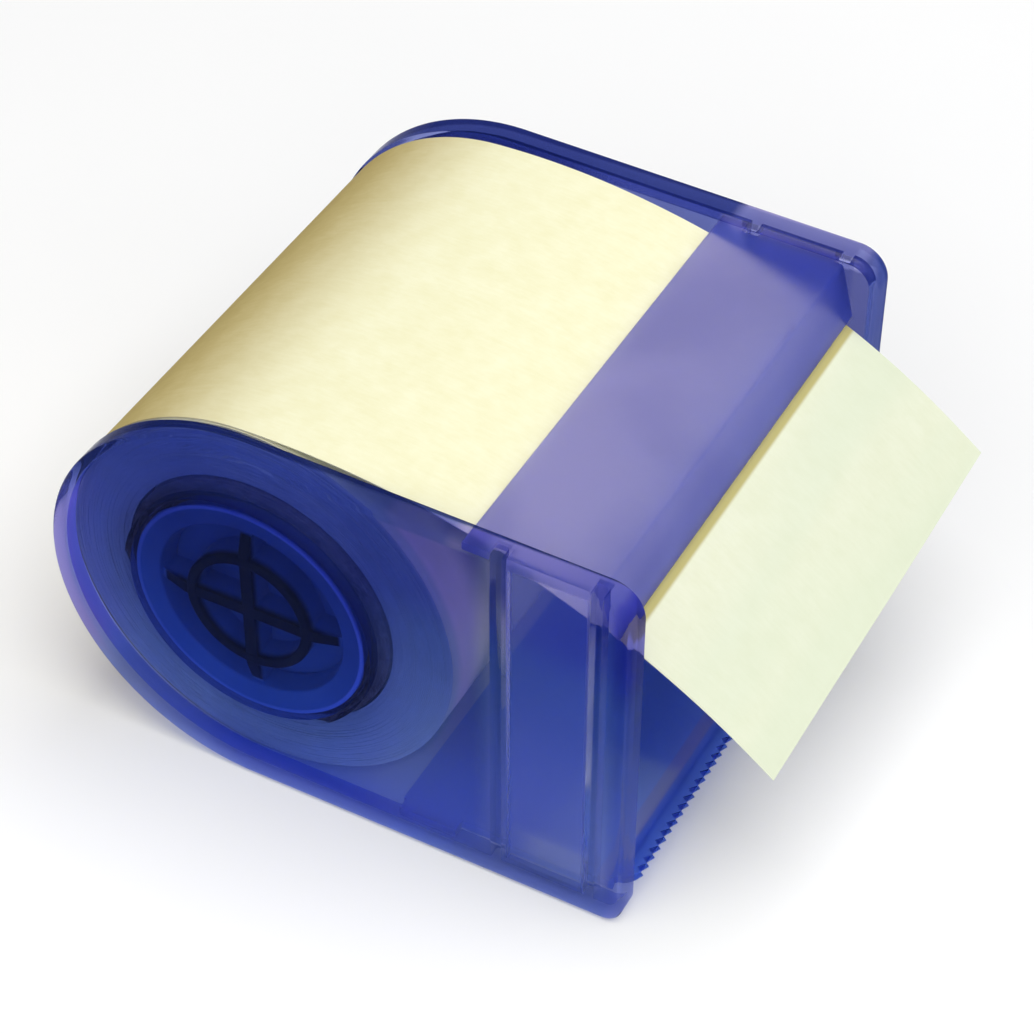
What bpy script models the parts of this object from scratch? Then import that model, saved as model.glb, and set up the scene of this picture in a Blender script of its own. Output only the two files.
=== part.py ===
"""Roll dispenser for sticky note paper.

Two translucent side shells are pushed onto a front frame. A paper roll on a
cardboard core turns between them on two plug hubs, and the paper leaves the
top of the roll, passes under the bridge and hangs out over the tear edge.

Frame: +X towards the paper exit, +Y to the right shell, +Z up, origin at the
middle of the bounding box's underside. Lengths below are in millimetres.
"""
import math

import bmesh
import bpy
from mathutils import Vector

MM = 0.001

# side shells
SHELL_R = 21.95          # rear end radius, also the height of the roll axis
SHELL_FRONT = 41.8       # front edge, ahead of the roll axis
SHELL_HALF_W = 29.0      # outer face, from the middle plane
SHELL_WALL = 1.2         # outer wall
RIM_DEPTH = 3.15         # rim flange, from the outer face inwards
RIM_T = 1.0              # rim flange thickness
TOP_SLOPE = math.radians(1.11)
FRONT_TOP_R = 3.5
FRONT_BOTTOM_R = 2.0
EDGE_R = 0.6             # outer edge rounding
RIM_EDGE_R = 0.25        # rim edge rounding
COLLAR_R_IN = 13.3       # bearing collar for the hub
COLLAR_R_OUT = 14.0
COLLAR_H = 1.6           # collar height above the wall's inner face
RIB_H = 1.6              # locating ribs
RIB_T = 1.2
REAR_RIB_X = 27.0
FRONT_RIB_X = 37.2

# front frame
FRAME_GAP = 0.3
BRIDGE_REAR_X = 23.9
BRIDGE_FRONT_X = 37.85
BRIDGE_T = 0.85
BRIDGE_HALF_W = 26.0     # ends just behind the rim flanges
EAR_HALF_W = 27.4        # ears reach further in, beside the ribs
EAR_FRONT_X = 36.9
LIP_BOTTOM = (39.4, 35.7)
LIP_T = 0.9
WEB_X = (28.5, 36.9)
WEB_T = 1.1
FLOOR_REAR_X = 16.2
FLOOR_FRONT_X = 39.6
FLOOR_Z = (1.3, 2.3)
FLOOR_TAB_X = (16.5, 22.8)
BLADE_ROOT = (38.9, 1.75)
BLADE_TIP = (42.0, 3.95)
BLADE_T = 0.9
BLADE_HALF_W = 25.5      # passes between the front rim flanges
TOOTH_COUNT = 40
TOOTH_H = 0.7

# hubs, core and paper
HUB_RIM_R = 12.97
HUB_RIM_Y = 27.35
HUB_SHOULDER_Y = 25.95
HUB_SKIRT_R = 12.4
HUB_SKIRT_IN_R = 11.2
HUB_SKIRT_Y = 19.0
HUB_CUP_R = 10.4
HUB_CUP_Y = 26.95
HUB_FLOOR_Y = 24.6
HUB_FLOOR_T = 1.0
HUB_RING_R = (5.95, 7.05)
HUB_RIB_Y = 27.45        # the ring and cross stand just proud of the rim
HUB_RIB_W = 1.3
HUB_ARM_END_Y = 26.5     # the cross falls away a little outside the ring
CORE_R_IN = 12.7         # one inch bore
CORE_R_OUT = 14.75
CORE_HALF_L = 25.6
PAPER_HALF_W = 25.25
ROLL_R_IN = 15.0
ROLL_R = 21.6
STRIP_T = 0.2
STRIP_ARC_R = 80.3       # the free paper hangs in a wide arc
STRIP_ARC_X = 3.0        # top of that arc, ahead of the roll axis
STRIP_ARC_TOP = 43.7
STRIP_TIP_X = 55.0

# the roll axis sits so that the origin is under the middle of the box
STRIP_TIP_ANGLE = math.asin((STRIP_TIP_X - STRIP_ARC_X) / (STRIP_ARC_R + STRIP_T / 2))
AXIS_X = -(STRIP_TIP_X - SHELL_R) / 2
AXIS_Z = SHELL_R
ARC_CENTRE_Z = STRIP_ARC_TOP - STRIP_ARC_R


for old in list(bpy.data.objects):
    bpy.data.objects.remove(old, do_unlink=True)


def material(name, colour, roughness, transmission=0.0):
    mat = bpy.data.materials.new(name)
    mat.use_nodes = True
    bsdf = mat.node_tree.nodes["Principled BSDF"]
    bsdf.inputs["Base Color"].default_value = (*colour, 1.0)
    bsdf.inputs["Roughness"].default_value = roughness
    bsdf.inputs["Metallic"].default_value = 0.0
    bsdf.inputs["Transmission Weight"].default_value = transmission
    return mat


def add_object(name, bm, mat, parent=None, smooth_deg=32.0):
    """Turn a bmesh in millimetres, with the roll axis at x = z = 0, into an object."""
    bmesh.ops.recalc_face_normals(bm, faces=bm.faces)
    bmesh.ops.scale(bm, vec=(MM, MM, MM), verts=bm.verts)
    mesh = bpy.data.meshes.new(name)
    bm.to_mesh(mesh)
    bm.free()
    mesh.shade_smooth()
    mesh.set_sharp_from_angle(angle=math.radians(smooth_deg))
    obj = bpy.data.objects.new(name, mesh)
    bpy.context.scene.collection.objects.link(obj)
    if mat is not None:
        mesh.materials.append(mat)
    obj.parent = parent
    return obj


def cutter(name, bm, parent):
    obj = add_object(name, bm, None, parent)
    obj.hide_render = True
    obj.display_type = "WIRE"
    return obj


def boolean(obj, other, operation):
    mod = obj.modifiers.new(other.name, "BOOLEAN")
    mod.operation = operation
    mod.solver = "EXACT"
    mod.object = other


def loft(rings):
    """Skin closed rings of equal point count, with both ends capped."""
    bm = bmesh.new()
    loops = [[bm.verts.new(p) for p in ring] for ring in rings]
    count = len(loops[0])
    for a, b in zip(loops, loops[1:]):
        for i in range(count):
            j = (i + 1) % count
            bm.faces.new((a[i], a[j], b[j], b[i]))
    bm.faces.new(loops[0])
    bm.faces.new(list(reversed(loops[-1])))
    return bm


def prism(points, y0, y1):
    """Extrude an outline in the XZ plane from y0 to y1."""
    bm = bmesh.new()
    face = bm.faces.new([bm.verts.new((x, y0, z)) for x, z in points])
    out = bmesh.ops.extrude_face_region(bm, geom=[face])
    moved = [g for g in out["geom"] if isinstance(g, bmesh.types.BMVert)]
    bmesh.ops.translate(bm, vec=(0, y1 - y0, 0), verts=moved)
    return bm


def block(x, y, z):
    bm = bmesh.new()
    bmesh.ops.create_cube(bm, size=1.0)
    bmesh.ops.scale(bm, vec=(x[1] - x[0], y[1] - y[0], z[1] - z[0]), verts=bm.verts)
    bmesh.ops.translate(bm, vec=((x[0] + x[1]) / 2, (y[0] + y[1]) / 2, (z[0] + z[1]) / 2), verts=bm.verts)
    return bm


def turned(profile, steps):
    """Spin a closed (radius, y) outline about the Y axis."""
    bm = bmesh.new()
    verts = [bm.verts.new((r, y, 0)) for r, y in profile]
    edges = []
    for i, v in enumerate(verts):
        w = verts[(i + 1) % len(verts)]
        if abs(v.co.x) > 1e-9 or abs(w.co.x) > 1e-9:
            edges.append(bm.edges.new((v, w)))
    bmesh.ops.spin(bm, geom=verts + edges, cent=(0, 0, 0), axis=(0, 1, 0), dvec=(0, 0, 0),
                   angle=2 * math.pi, steps=steps, use_merge=True, use_duplicate=False)
    bmesh.ops.remove_doubles(bm, verts=bm.verts, dist=1e-4)
    return bm


def arc(cx, cz, r, a0, a1, steps):
    return [(cx + r * math.cos(a0 + (a1 - a0) * i / steps), cz + r * math.sin(a0 + (a1 - a0) * i / steps))
            for i in range(steps + 1)]


def shell_top(x):
    """Height of the shell's top edge above its roll axis."""
    return SHELL_R / math.cos(TOP_SLOPE) - x * math.tan(TOP_SLOPE)


def side_outline(inset):
    """Side view of a shell, offset inwards, about the roll axis."""
    r_top = FRONT_TOP_R
    r_low = FRONT_BOTTOM_R
    top_x = SHELL_FRONT - r_top
    top_z = shell_top(top_x) - r_top / math.cos(TOP_SLOPE)
    low_x = SHELL_FRONT - r_low
    low_z = -SHELL_R + r_low
    pts = arc(0, 0, SHELL_R - inset, math.pi / 2 - TOP_SLOPE, 3 * math.pi / 2, 36)
    pts += arc(low_x, low_z, r_low - inset, -math.pi / 2, 0, 5)
    pts += arc(top_x, top_z, r_top - inset, 0, math.pi / 2 - TOP_SLOPE, 7)
    return pts


def shell_rings(side):
    """Rings of the pan, from its outer face round the rim to its inner face."""
    rings = []

    def add(inset, depth):
        y = side * (SHELL_HALF_W - depth)
        rings.append([(x, y, z) for x, z in side_outline(inset)])

    for i in range(4):
        a = math.pi / 2 * i / 3
        add(EDGE_R * (1 - math.sin(a)), EDGE_R * (1 - math.cos(a)))
    add(0, RIM_DEPTH - RIM_EDGE_R)
    add(RIM_EDGE_R, RIM_DEPTH)
    add(RIM_T - RIM_EDGE_R, RIM_DEPTH)
    add(RIM_T, RIM_DEPTH - RIM_EDGE_R)
    add(RIM_T, SHELL_WALL + 0.3)
    add(RIM_T + 0.3, SHELL_WALL)
    return rings


# one empty on the roll axis, one at the middle of the paper's arc
axis = bpy.data.objects.new("roll_axis", None)
axis.location = (AXIS_X * MM, 0, AXIS_Z * MM)
bpy.context.scene.collection.objects.link(axis)
arc_axis = bpy.data.objects.new("paper_arc_axis", None)
arc_axis.location = ((AXIS_X + STRIP_ARC_X) * MM, 0, ARC_CENTRE_Z * MM)
bpy.context.scene.collection.objects.link(arc_axis)

plastic = (0.060, 0.080, 0.420)
shell_mats = {"left": material("left_side_shell", plastic, 0.22, 0.55),
              "right": material("right_side_shell", plastic, 0.22, 0.55)}
frame_mat = material("front_frame", (0.180, 0.165, 0.520), 0.25, 0.45)
hub_mats = {"left": material("left_hub", (0.030, 0.050, 0.300), 0.35, 0.2),
            "right": material("right_hub", (0.030, 0.050, 0.300), 0.35, 0.2)}
core_mat = material("roll_core", (0.350, 0.235, 0.130), 0.9)
roll_mat = material("paper_roll", (0.860, 0.800, 0.470), 0.75)
strip_mat = material("paper_strip", (0.800, 0.840, 0.650), 0.75)


# side shells
for name, side in (("left", -1), ("right", 1)):
    node = name + "_side_shell"
    shell = add_object(node, loft(shell_rings(side)), shell_mats[name], axis)
    inner = SHELL_HALF_W - SHELL_WALL

    def span(a, b):
        return tuple(sorted((side * a, side * b)))

    collar = turned([(COLLAR_R_IN, side * (inner + 0.4)), (COLLAR_R_OUT, side * (inner + 0.4)),
                     (COLLAR_R_OUT, side * (inner - COLLAR_H)), (COLLAR_R_IN, side * (inner - COLLAR_H))], 48)
    boolean(shell, cutter(node + "_collar", collar, axis), "UNION")
    for rib, x0 in (("rear", REAR_RIB_X), ("front", FRONT_RIB_X)):
        bm = block((x0, x0 + RIB_T), span(inner + 0.4, inner - RIB_H), (-SHELL_R + 0.5, shell_top(x0) - 0.5))
        boolean(shell, cutter(node + "_" + rib + "_rib", bm, axis), "UNION")


# front frame: bridge with lip, ears, webs, floor and tear edge
def bridge_top(x):
    return shell_top(x) - RIM_T - 0.25


lip_x, lip_z = LIP_BOTTOM[0], LIP_BOTTOM[1] - AXIS_Z
corner = Vector((BRIDGE_FRONT_X, bridge_top(BRIDGE_FRONT_X)))
along = (Vector((lip_x, lip_z)) - corner).normalized()
back = Vector((-math.cos(TOP_SLOPE), math.sin(TOP_SLOPE)))
ROUND = 1.0
p_back = corner + back * ROUND
p_down = corner + along * ROUND
rounded = []
for i in range(6):
    t = i / 5
    rounded.append(tuple(p_back * (1 - t) ** 2 + corner * 2 * t * (1 - t) + p_down * t * t))
bridge_outline = [(BRIDGE_REAR_X, bridge_top(BRIDGE_REAR_X))] + rounded + [
    (lip_x, lip_z), (lip_x - LIP_T, lip_z + 0.62),
    (BRIDGE_FRONT_X - LIP_T - 0.15, bridge_top(BRIDGE_FRONT_X) - BRIDGE_T - 0.1),
    (BRIDGE_FRONT_X - LIP_T - 0.55, bridge_top(BRIDGE_FRONT_X) - BRIDGE_T),
    (BRIDGE_REAR_X, bridge_top(BRIDGE_REAR_X) - BRIDGE_T)]
frame = add_object("front_frame", prism(bridge_outline, -BRIDGE_HALF_W, BRIDGE_HALF_W), frame_mat, axis)

for name, side in (("left", -1), ("right", 1)):
    def span(a, b):
        return tuple(sorted((side * a, side * b)))

    ear = [(BRIDGE_REAR_X, bridge_top(BRIDGE_REAR_X)), (EAR_FRONT_X, bridge_top(EAR_FRONT_X)),
           (EAR_FRONT_X, bridge_top(EAR_FRONT_X) - BRIDGE_T), (BRIDGE_REAR_X, bridge_top(BRIDGE_REAR_X) - BRIDGE_T)]
    y0, y1 = span(BRIDGE_HALF_W - 0.4, EAR_HALF_W)
    boolean(frame, cutter("front_frame_%s_ear" % name, prism(ear, y0, y1), axis), "UNION")
    bm = block((REAR_RIB_X - FRAME_GAP, REAR_RIB_X + RIB_T + FRAME_GAP), span(BRIDGE_HALF_W - 0.1, EAR_HALF_W + 1.0),
               (bridge_top(REAR_RIB_X) - 2.0, bridge_top(REAR_RIB_X) + 1.0))
    boolean(frame, cutter("front_frame_%s_rib_notch" % name, bm, axis), "DIFFERENCE")
    bm = block(WEB_X, span(EAR_HALF_W - WEB_T, EAR_HALF_W),
               (FLOOR_Z[0] - AXIS_Z, bridge_top(WEB_X[1]) - BRIDGE_T / 2))
    boolean(frame, cutter("front_frame_%s_web" % name, bm, axis), "UNION")

floor = block((FLOOR_REAR_X, FLOOR_FRONT_X), (-BRIDGE_HALF_W, BRIDGE_HALF_W), (FLOOR_Z[0] - AXIS_Z, FLOOR_Z[1] - AXIS_Z))
boolean(frame, cutter("front_frame_floor", floor, axis), "UNION")
for name, xs in (("mid", WEB_X), ("tab", FLOOR_TAB_X)):
    bm = block(xs, (-EAR_HALF_W, EAR_HALF_W), (FLOOR_Z[0] - AXIS_Z, FLOOR_Z[1] - AXIS_Z))
    boolean(frame, cutter("front_frame_floor_" + name, bm, axis), "UNION")

# tear edge: a saw-tooth outline in the blade's own plane, then given its thickness
root = Vector((BLADE_ROOT[0], 0, BLADE_ROOT[1] - AXIS_Z))
tip = Vector((BLADE_TIP[0], 0, BLADE_TIP[1] - AXIS_Z))
run = (tip - root).normalized()
reach = (tip - root).length
up = Vector((-run.z, 0, run.x))
pitch = 2 * BLADE_HALF_W / TOOTH_COUNT
outline = [(0.0, -BLADE_HALF_W)]
for i in range(TOOTH_COUNT):
    outline.append((reach - TOOTH_H, -BLADE_HALF_W + i * pitch))
    outline.append((reach, -BLADE_HALF_W + (i + 0.5) * pitch))
outline.append((reach - TOOTH_H, BLADE_HALF_W))
outline.append((0.0, BLADE_HALF_W))
bm = bmesh.new()
face = bm.faces.new([bm.verts.new(root + run * t + Vector((0, y, 0)) - up * BLADE_T / 2) for t, y in outline])
out = bmesh.ops.extrude_face_region(bm, geom=[face])
bmesh.ops.translate(bm, vec=up * BLADE_T, verts=[g for g in out["geom"] if isinstance(g, bmesh.types.BMVert)])
boolean(frame, cutter("front_frame_tear_edge", bm, axis), "UNION")


# hubs: a flanged cup with a ring and a cross, whose skirt sits in the core
for name, side in (("left", -1), ("right", 1)):
    profile = [(0, HUB_FLOOR_Y), (HUB_CUP_R - 0.5, HUB_FLOOR_Y), (HUB_CUP_R, HUB_CUP_Y),
               (HUB_RIM_R - 0.25, HUB_RIM_Y), (HUB_RIM_R, HUB_RIM_Y - 0.25), (HUB_RIM_R, HUB_SHOULDER_Y),
               (HUB_SKIRT_R, HUB_SHOULDER_Y), (HUB_SKIRT_R, HUB_SKIRT_Y), (HUB_SKIRT_IN_R, HUB_SKIRT_Y),
               (HUB_SKIRT_IN_R, HUB_FLOOR_Y - HUB_FLOOR_T), (0, HUB_FLOOR_Y - HUB_FLOOR_T)]
    node = name + "_hub"
    hub = add_object(node, turned([(r, side * y) for r, y in profile], 48), hub_mats[name], axis)

    def span(a, b):
        return tuple(sorted((side * a, side * b)))

    ring = turned([(HUB_RING_R[0], side * (HUB_FLOOR_Y - 0.4)), (HUB_RING_R[1], side * (HUB_FLOOR_Y - 0.4)),
                   (HUB_RING_R[1], side * HUB_RIB_Y), (HUB_RING_R[0], side * HUB_RIB_Y)], 36)
    boolean(hub, cutter(node + "_ring", ring, axis), "UNION")
    w, r = HUB_RIB_W / 2, HUB_CUP_R + 0.6
    plus = [(r, -w), (r, w), (w, w), (w, r), (-w, r), (-w, w), (-r, w), (-r, -w), (-w, -w), (-w, -r), (w, -r), (w, -w)]
    cross = cutter(node + "_cross", prism(plus, *span(HUB_FLOOR_Y - 0.5, HUB_RIB_Y - 0.1)), axis)
    fall = [(0, HUB_FLOOR_Y - 0.8), (HUB_CUP_R + 0.9, HUB_FLOOR_Y - 0.8), (HUB_CUP_R + 0.9, HUB_ARM_END_Y - 0.25),
            (HUB_CUP_R, HUB_ARM_END_Y), (HUB_RING_R[1], HUB_RIB_Y), (0, HUB_RIB_Y)]
    boolean(cross, cutter(node + "_cross_fall", turned([(r, side * y) for r, y in fall], 48), axis), "INTERSECT")
    boolean(hub, cross, "UNION")


# core and wound paper
add_object("roll_core", turned([(CORE_R_IN, -CORE_HALF_L), (CORE_R_OUT, -CORE_HALF_L),
                                (CORE_R_OUT, CORE_HALF_L), (CORE_R_IN, CORE_HALF_L)], 48), core_mat, axis)
add_object("paper_roll", turned([(ROLL_R_IN, -PAPER_HALF_W), (ROLL_R, -PAPER_HALF_W),
                                 (ROLL_R, PAPER_HALF_W), (ROLL_R_IN, PAPER_HALF_W)], 72), roll_mat, axis)

# free paper: a thin arc whose origin is at the arc's middle
steps = 24
lower = arc(0, 0, STRIP_ARC_R - STRIP_T / 2, math.pi / 2, math.pi / 2 - STRIP_TIP_ANGLE, steps)
upper = arc(0, 0, STRIP_ARC_R + STRIP_T / 2, math.pi / 2 - STRIP_TIP_ANGLE, math.pi / 2, steps)
add_object("paper_strip", prism(lower + upper, -PAPER_HALF_W, PAPER_HALF_W), strip_mat, arc_axis)
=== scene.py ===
import math

import bmesh
import bpy
from mathutils import Matrix, Vector, noise


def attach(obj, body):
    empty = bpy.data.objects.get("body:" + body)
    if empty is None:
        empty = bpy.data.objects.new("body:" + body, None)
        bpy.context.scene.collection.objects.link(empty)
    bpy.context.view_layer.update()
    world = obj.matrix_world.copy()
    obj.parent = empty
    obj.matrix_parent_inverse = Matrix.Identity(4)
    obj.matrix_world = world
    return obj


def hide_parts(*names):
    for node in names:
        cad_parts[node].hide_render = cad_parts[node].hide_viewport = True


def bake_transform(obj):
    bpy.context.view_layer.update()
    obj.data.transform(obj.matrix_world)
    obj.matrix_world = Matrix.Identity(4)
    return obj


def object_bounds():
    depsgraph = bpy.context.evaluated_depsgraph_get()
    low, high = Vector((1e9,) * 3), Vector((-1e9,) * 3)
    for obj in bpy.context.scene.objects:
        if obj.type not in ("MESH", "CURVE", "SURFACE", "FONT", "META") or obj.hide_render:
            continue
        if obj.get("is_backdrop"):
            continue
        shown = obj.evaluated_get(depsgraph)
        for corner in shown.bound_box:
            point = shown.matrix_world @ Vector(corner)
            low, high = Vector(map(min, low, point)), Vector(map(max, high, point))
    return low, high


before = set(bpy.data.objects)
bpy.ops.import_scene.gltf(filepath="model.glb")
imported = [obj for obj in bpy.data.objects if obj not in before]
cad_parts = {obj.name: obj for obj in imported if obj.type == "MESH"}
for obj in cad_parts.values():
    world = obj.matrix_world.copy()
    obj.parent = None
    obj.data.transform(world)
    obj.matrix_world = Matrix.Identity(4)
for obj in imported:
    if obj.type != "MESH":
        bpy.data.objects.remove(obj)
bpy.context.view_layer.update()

MM = 0.001

# ---------------------------------------------------------------- dimensions, in millimetres
# about the roll axis: x ahead of it, z above it
AXIS_X, AXIS_Z = -16.525, 21.95
SHELL_R, SHELL_FRONT, SHELL_HALF_W, SHELL_WALL = 21.95, 41.8, 29.0, 1.2
RIM_DEPTH, RIM_T = 3.15, 1.0
TOP_SLOPE = math.radians(1.11)
FRONT_TOP_R, FRONT_BOTTOM_R = 3.5, 2.0
EDGE_R, RIM_EDGE_R, INNER_R = 0.6, 0.25, 0.3
COLLAR_R_IN, COLLAR_R_OUT, COLLAR_H = 13.3, 14.0, 1.6
RIB_H, RIB_T, REAR_RIB_X, FRONT_RIB_X = 1.6, 1.2, 27.0, 37.2

FRAME_GAP = 0.3
BRIDGE_REAR_X, BRIDGE_FRONT_X, BRIDGE_T = 23.9, 37.85, 0.85
BRIDGE_HALF_W, EAR_HALF_W, EAR_FRONT_X = 26.0, 27.4, 36.9
LIP_BOTTOM, LIP_T = (39.4, 35.7), 0.9
WEB_X, WEB_T = (28.5, 36.9), 1.1
FLOOR_X, FLOOR_Z, FLOOR_TAB_X = (16.2, 39.6), (1.3, 2.3), (16.5, 22.8)
BLADE_ROOT, BLADE_TIP, BLADE_T = (38.9, 1.75), (42.0, 3.95), 0.9
BLADE_HALF_W, TOOTH_COUNT, TOOTH_H = 25.5, 40, 0.7

HUB_RIM_R, HUB_RIM_Y, HUB_SHOULDER_Y = 12.97, 27.35, 25.95
HUB_SKIRT_R, HUB_SKIRT_IN_R, HUB_SKIRT_Y = 12.4, 11.2, 19.0
HUB_CUP_R, HUB_CUP_Y, HUB_FLOOR_Y, HUB_FLOOR_T = 10.4, 26.95, 24.6, 1.0
HUB_RING_R, HUB_RIB_Y, HUB_RIB_W, HUB_ARM_END_Y = (5.95, 7.05), 27.45, 1.3, 26.5
CORE_R_IN, CORE_R_OUT, CORE_HALF_L = 12.7, 14.75, 25.6
PAPER_HALF_W, ROLL_R_IN, ROLL_R = 25.25, 15.0, 21.6
ARC_R, ARC_X, ARC_TOP, TIP_X = 80.3, 3.0, 43.7, 55.0
SHEET_T = 0.1


# ---------------------------------------------------------------- mesh helpers
def link(name, mesh):
    obj = bpy.data.objects.new(name, mesh)
    bpy.context.scene.collection.objects.link(obj)
    return obj


def to_object(name, bm):
    """A bmesh in millimetres about the roll axis becomes an object in the row frame."""
    bmesh.ops.recalc_face_normals(bm, faces=bm.faces)
    bmesh.ops.translate(bm, vec=(AXIS_X, 0, AXIS_Z), verts=bm.verts)
    bmesh.ops.scale(bm, vec=(MM, MM, MM), verts=bm.verts)
    mesh = bpy.data.meshes.new(name)
    bm.to_mesh(mesh)
    bm.free()
    return link(name, mesh)


def settle(obj, operands=()):
    """Put the result of the modifiers into the mesh and drop the operands."""
    dg = bpy.context.evaluated_depsgraph_get()
    made = bpy.data.meshes.new_from_object(obj.evaluated_get(dg))
    obj.modifiers.clear()
    old = obj.data
    obj.data = made
    made.name = obj.name
    bpy.data.meshes.remove(old)
    for o in operands:
        mesh = o.data
        bpy.data.objects.remove(o, do_unlink=True)
        bpy.data.meshes.remove(mesh)


def in_order(mesh):
    """A bmesh of the mesh with points and faces sorted by place: the boolean's own order can change from run to run."""
    points = [tuple(v.co) for v in mesh.vertices]
    rank = sorted(range(len(points)), key=points.__getitem__)
    place = {v: i for i, v in enumerate(rank)}
    loops = []
    for f in mesh.polygons:
        ids = [place[v] for v in f.vertices]
        k = ids.index(min(ids))
        loops.append(ids[k:] + ids[:k])
    bm = bmesh.new()
    verts = [bm.verts.new(points[v]) for v in rank]
    for ids in sorted(loops):
        bm.faces.new([verts[i] for i in ids])
    return bm


def combine(obj, steps):
    """Boolean steps [(operation, object)], then one settled mesh."""
    for operation, other in steps:
        mod = obj.modifiers.new(other.name, "BOOLEAN")
        mod.operation, mod.solver, mod.object = operation, "EXACT", other
    settle(obj, [o for _, o in steps])
    bm = in_order(obj.data)
    bmesh.ops.remove_doubles(bm, verts=bm.verts, dist=2e-6)
    bmesh.ops.dissolve_limit(bm, angle_limit=math.radians(0.4), use_dissolve_boundaries=False,
                             verts=bm.verts, edges=bm.edges, delimit=set())
    bm.to_mesh(obj.data)
    bm.free()


def soften(obj, width, segments=3, angle=40.0):
    """Small moulded radii on the edges, concave and convex."""
    mod = obj.modifiers.new("radii", "BEVEL")
    mod.width, mod.segments, mod.limit_method = width * MM, segments, "ANGLE"
    mod.angle_limit, mod.use_clamp_overlap = math.radians(angle), True
    mod.miter_outer = "MITER_ARC"
    settle(obj)


def shade(obj, angle=34.0):
    obj.data.shade_smooth()
    obj.data.set_sharp_from_angle(angle=math.radians(angle))
    mod = obj.modifiers.new("normals", "WEIGHTED_NORMAL")
    mod.keep_sharp = True
    mod.weight = 100


def loft(rings):
    bm = bmesh.new()
    loops = [[bm.verts.new(p) for p in ring] for ring in rings]
    count = len(loops[0])
    for a, b in zip(loops, loops[1:]):
        for i in range(count):
            j = (i + 1) % count
            bm.faces.new((a[i], a[j], b[j], b[i]))
    bm.faces.new(loops[0])
    bm.faces.new(list(reversed(loops[-1])))
    return bm


def prism(points, y0, y1):
    bm = bmesh.new()
    face = bm.faces.new([bm.verts.new((x, y0, z)) for x, z in points])
    out = bmesh.ops.extrude_face_region(bm, geom=[face])
    moved = [g for g in out["geom"] if isinstance(g, bmesh.types.BMVert)]
    bmesh.ops.translate(bm, vec=(0, y1 - y0, 0), verts=moved)
    return bm


def block(x, y, z):
    bm = bmesh.new()
    bmesh.ops.create_cube(bm, size=1.0)
    bmesh.ops.scale(bm, vec=(x[1] - x[0], y[1] - y[0], z[1] - z[0]), verts=bm.verts)
    bmesh.ops.translate(bm, vec=((x[0] + x[1]) / 2, (y[0] + y[1]) / 2, (z[0] + z[1]) / 2), verts=bm.verts)
    return bm


def turned(profile, steps):
    """Spin a closed (radius, y) outline about the roll axis."""
    bm = bmesh.new()
    rows = []
    for r, y in profile:
        if r < 1e-6:
            rows.append([bm.verts.new((0, y, 0))] * steps)
        else:
            rows.append([bm.verts.new((r * math.cos(2 * math.pi * i / steps), y, r * math.sin(2 * math.pi * i / steps)))
                         for i in range(steps)])
    for k, a in enumerate(rows):
        b = rows[(k + 1) % len(rows)]
        for i in range(steps):
            j = (i + 1) % steps
            corners = []
            for v in (a[i], a[j], b[j], b[i]):
                if v not in corners:
                    corners.append(v)
            if len(corners) >= 3:
                bm.faces.new(corners)
    return bm


def arc(cx, cz, r, a0, a1, steps):
    return [(cx + r * math.cos(a0 + (a1 - a0) * i / steps), cz + r * math.sin(a0 + (a1 - a0) * i / steps))
            for i in range(steps + 1)]


def rounded_outline(points, radii, steps=5):
    """An outline with each corner replaced by a small round of its own radius."""
    out = []
    n = len(points)
    for i, r in enumerate(radii):
        p, a, b = Vector(points[i]), Vector(points[i - 1]), Vector(points[(i + 1) % n])
        if r <= 0:
            out.append(tuple(p))
            continue
        u, v = (a - p), (b - p)
        cut = min(r / math.tan(max(u.angle(v) / 2, 1e-3)), 0.45 * u.length, 0.45 * v.length)
        p0, p1 = p + u.normalized() * cut, p + v.normalized() * cut
        for k in range(steps + 1):
            t = k / steps
            out.append(tuple(p0 * (1 - t) ** 2 + p * 2 * t * (1 - t) + p1 * t * t))
    return out


# ---------------------------------------------------------------- side shells
def shell_top(x):
    return SHELL_R / math.cos(TOP_SLOPE) - x * math.tan(TOP_SLOPE)


def side_outline(inset):
    r_top, r_low = FRONT_TOP_R, FRONT_BOTTOM_R
    top_x = SHELL_FRONT - r_top
    top_z = shell_top(top_x) - r_top / math.cos(TOP_SLOPE)
    low_x, low_z = SHELL_FRONT - r_low, -SHELL_R + r_low
    pts = arc(0, 0, SHELL_R - inset, math.pi / 2 - TOP_SLOPE, 3 * math.pi / 2, 144)
    last = pts[-1]
    first_low = (low_x, low_z - (r_low - inset))
    for k in range(1, 12):
        pts.append((last[0] + (first_low[0] - last[0]) * k / 12, last[1] + (first_low[1] - last[1]) * k / 12))
    pts += arc(low_x, low_z, max(r_low - inset, 0.05), -math.pi / 2, 0, 12)
    pts += arc(top_x, top_z, r_top - inset, 0, math.pi / 2 - TOP_SLOPE, 18)
    last, first = pts[-1], pts[0]
    for k in range(1, 12):
        pts.append((last[0] + (first[0] - last[0]) * k / 12, last[1] + (first[1] - last[1]) * k / 12))
    return pts


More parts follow.
